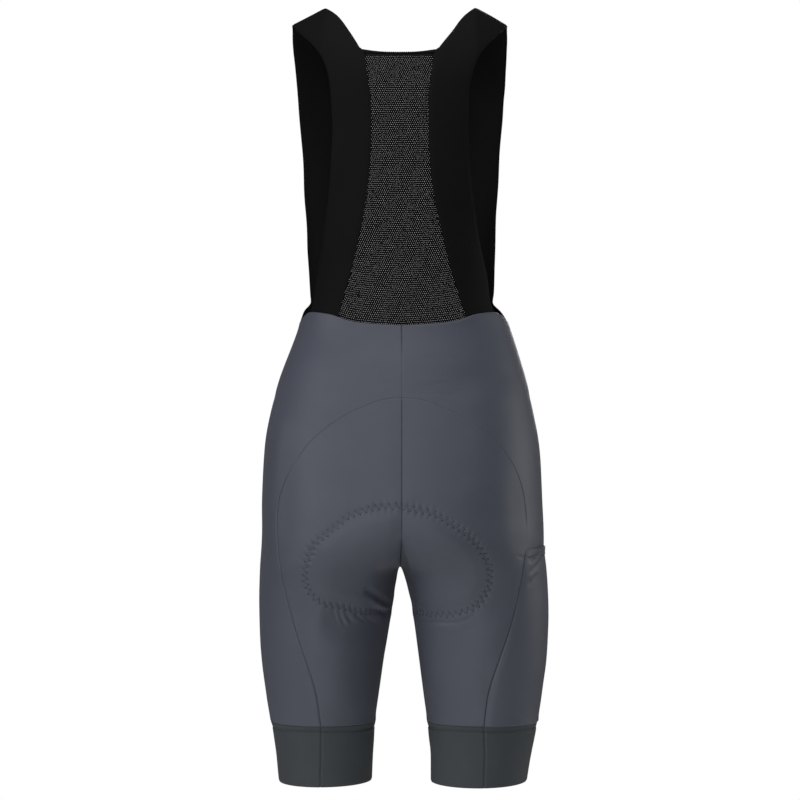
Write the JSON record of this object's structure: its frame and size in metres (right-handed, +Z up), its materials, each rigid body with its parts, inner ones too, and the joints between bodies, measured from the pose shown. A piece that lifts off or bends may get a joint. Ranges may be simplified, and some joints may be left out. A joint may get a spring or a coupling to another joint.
{
  "type": "cycling bib shorts",
  "caption": "Cycling bib shorts in worn form: padded seat, gripper leg bands, thigh pocket, wide shoulder straps and a net back panel.",
  "frame": {"origin": "midway between the tops of the two shoulder straps, where the wearer's shoulders hold the garment up", "axes": "+Z up, from the hems to the shoulders; +X towards the wearer's right side; +Y out of the wearer's front, so the back faces -Y"},
  "size_m": [0.3457, 0.2378, 0.9264],
  "materials": {
    "stretch_cloth": "smooth slate-blue stretch knit with a soft satin sheen",
    "bib_cloth": "matt black elastic knit",
    "net": "matt black warp-knit net with small even holes",
    "band_knit": "dark green-grey elastic knit band",
    "pad_foam": "brushed knit over moulded foam"
  },
  "bodies": {
    "root": {"seat_panel_left": "stretch_cloth", "seat_panel_right": "stretch_cloth", "side_panel_left": "stretch_cloth", "side_panel_right": "stretch_cloth", "thigh_pocket_right": "stretch_cloth", "leg_band_left": "band_knit", "leg_band_right": "band_knit", "bib_strap_left": "bib_cloth", "bib_strap_right": "bib_cloth", "neck_binding": "bib_cloth", "back_mesh_panel": "net", "chamois_pad": "pad_foam"}
  },
  "joints": []
}
